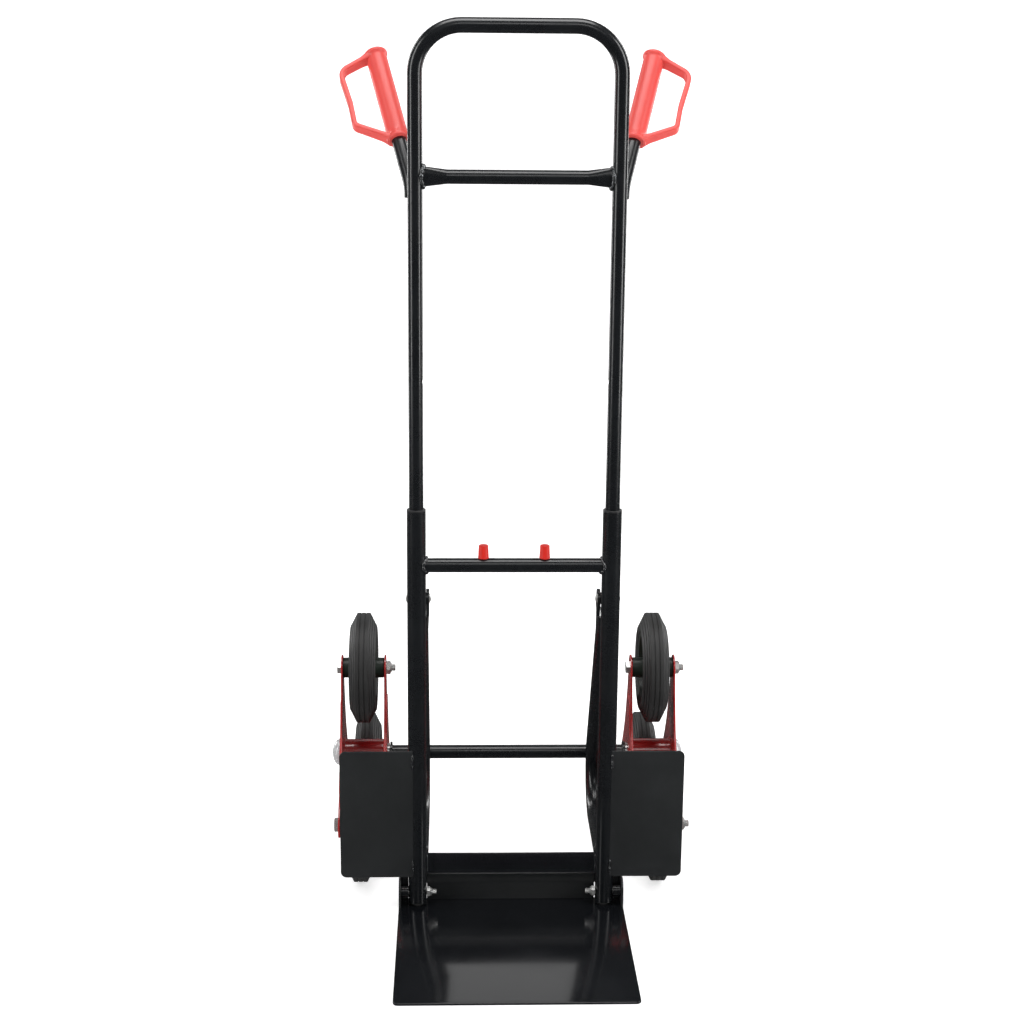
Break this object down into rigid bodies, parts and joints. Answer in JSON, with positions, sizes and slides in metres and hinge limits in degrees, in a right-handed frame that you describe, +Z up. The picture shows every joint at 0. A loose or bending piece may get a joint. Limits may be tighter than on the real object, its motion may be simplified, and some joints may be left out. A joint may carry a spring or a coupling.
{
  "type": "stair climbing trolley",
  "caption": "Folding hand truck with a telescopic handle, a fold-up toe plate and a rotating three-wheel star on each side for climbing stairs.",
  "frame": {"origin": "middle of the footprint, on the floor the toe plate and the four lower wheels stand on", "axes": "+Z up, along the upright handle; +Y to the rear, towards the wheels; +X to the right seen from the front"},
  "size_m": [0.5148, 0.6744, 1.189],
  "materials": {
    "black_paint": "gloss black powder coat",
    "red_paint": "gloss dark red enamel",
    "zinc": "bright zinc plate",
    "spring_steel": "spring steel wire",
    "chrome": "polished chrome",
    "red_plastic": "gloss red plastic",
    "grip_coral": "satin coral-red plastic",
    "tyre": "ribbed dark grey rubber",
    "rim_plastic": "black moulded plastic",
    "black_plastic": "black plastic"
  },
  "bodies": {
    "frame": {"axle": "black_paint", "axle_caps": "chrome", "axle_stop_collars": "black_paint", "axle_washers": "zinc", "guide_bushes": "black_plastic", "left_rear_strut": "black_paint", "left_release_spring": "spring_steel", "left_side_tube": "black_paint", "left_wheel_guard": "black_paint", "lower_cross_plate": "black_paint", "release_crossbar": "black_paint", "right_rear_strut": "black_paint", "right_release_spring": "spring_steel", "right_side_tube": "black_paint", "right_wheel_guard": "black_paint", "spring_stop": "black_plastic", "strut_bosses": "black_paint", "strut_rivets": "zinc", "toe_pivot_bolts": "zinc", "toe_pivot_nuts": "zinc", "toe_pivot_spacers": "black_paint"},
    "handle": {"handle_tube": "black_paint", "handle_crossbar": "black_paint", "left_grip_tube": "black_paint", "right_grip_tube": "black_paint", "left_grip": "grip_coral", "right_grip": "grip_coral", "handle_end_plugs": "black_plastic"},
    "toe_plate": {"toe_plate": "black_paint"},
    "left_release": {"left_lock_pin": "zinc", "left_release_knob": "red_plastic"},
    "right_release": {"right_lock_pin": "zinc", "right_release_knob": "red_plastic"},
    "left_star": {"left_star_inner_plate": "red_paint", "left_star_outer_plate": "red_paint", "left_star_hub_tube": "red_paint", "left_star_bushes": "black_plastic", "left_wheel_bolts": "zinc", "left_wheel_nuts": "zinc", "left_wheel_spacers": "zinc"},
    "left_upper_wheel": {"left_upper_tyre": "tyre", "left_upper_rim": "rim_plastic"},
    "left_front_wheel": {"left_front_tyre": "tyre", "left_front_rim": "rim_plastic"},
    "left_rear_wheel": {"left_rear_tyre": "tyre", "left_rear_rim": "rim_plastic"},
    "right_star": {"right_star_inner_plate": "red_paint", "right_star_outer_plate": "red_paint", "right_star_hub_tube": "red_paint", "right_star_bushes": "black_plastic", "right_wheel_bolts": "zinc", "right_wheel_nuts": "zinc", "right_wheel_spacers": "zinc"},
    "right_upper_wheel": {"right_upper_tyre": "tyre", "right_upper_rim": "rim_plastic"},
    "right_front_wheel": {"right_front_tyre": "tyre", "right_front_rim": "rim_plastic"},
    "right_rear_wheel": {"right_rear_tyre": "tyre", "right_rear_rim": "rim_plastic"}
  },
  "joints": [
    {"name": "handle_slide", "type": "slide", "parent": "frame", "child": "handle", "axis": [0, 0, 1], "range_m": [-0.245, 0]},
    {"name": "toe_plate_fold", "type": "hinge", "parent": "frame", "child": "toe_plate", "pos_m": [0, -0.06122, 0.0205], "axis": [-1, 0, 0], "range_deg": [0, 90]},
    {"name": "left_release_slide", "type": "slide", "parent": "frame", "child": "left_release", "axis": [1, 0, 0], "range_m": [0, 0.01], "stiffness_N_per_m": 600, "springref_m": -0.006, "deforming": ["left_release_spring"]},
    {"name": "right_release_slide", "type": "slide", "parent": "frame", "child": "right_release", "axis": [-1, 0, 0], "range_m": [0, 0.01], "stiffness_N_per_m": 600, "springref_m": -0.006, "deforming": ["right_release_spring"]},
    {"name": "left_star_spin", "type": "hinge", "parent": "frame", "child": "left_star", "pos_m": [-0.2105, 0.14378, 0.1455], "axis": [1, 0, 0], "continuous": true},
    {"name": "left_upper_wheel_spin", "type": "hinge", "parent": "left_star", "child": "left_upper_wheel", "pos_m": [-0.2105, 0.14378, 0.2765], "axis": [1, 0, 0], "continuous": true},
    {"name": "left_front_wheel_spin", "type": "hinge", "parent": "left_star", "child": "left_front_wheel", "pos_m": [-0.2105, 0.03033, 0.08], "axis": [1, 0, 0], "continuous": true},
    {"name": "left_rear_wheel_spin", "type": "hinge", "parent": "left_star", "child": "left_rear_wheel", "pos_m": [-0.2105, 0.25722, 0.08], "axis": [1, 0, 0], "continuous": true},
    {"name": "right_star_spin", "type": "hinge", "parent": "frame", "child": "right_star", "pos_m": [0.2105, 0.14378, 0.1455], "axis": [1, 0, 0], "continuous": true},
    {"name": "right_upper_wheel_spin", "type": "hinge", "parent": "right_star", "child": "right_upper_wheel", "pos_m": [0.2105, 0.14378, 0.2765], "axis": [1, 0, 0], "continuous": true},
    {"name": "right_front_wheel_spin", "type": "hinge", "parent": "right_star", "child": "right_front_wheel", "pos_m": [0.2105, 0.03033, 0.08], "axis": [1, 0, 0], "continuous": true},
    {"name": "right_rear_wheel_spin", "type": "hinge", "parent": "right_star", "child": "right_rear_wheel", "pos_m": [0.2105, 0.25722, 0.08], "axis": [1, 0, 0], "continuous": true}
  ]
}
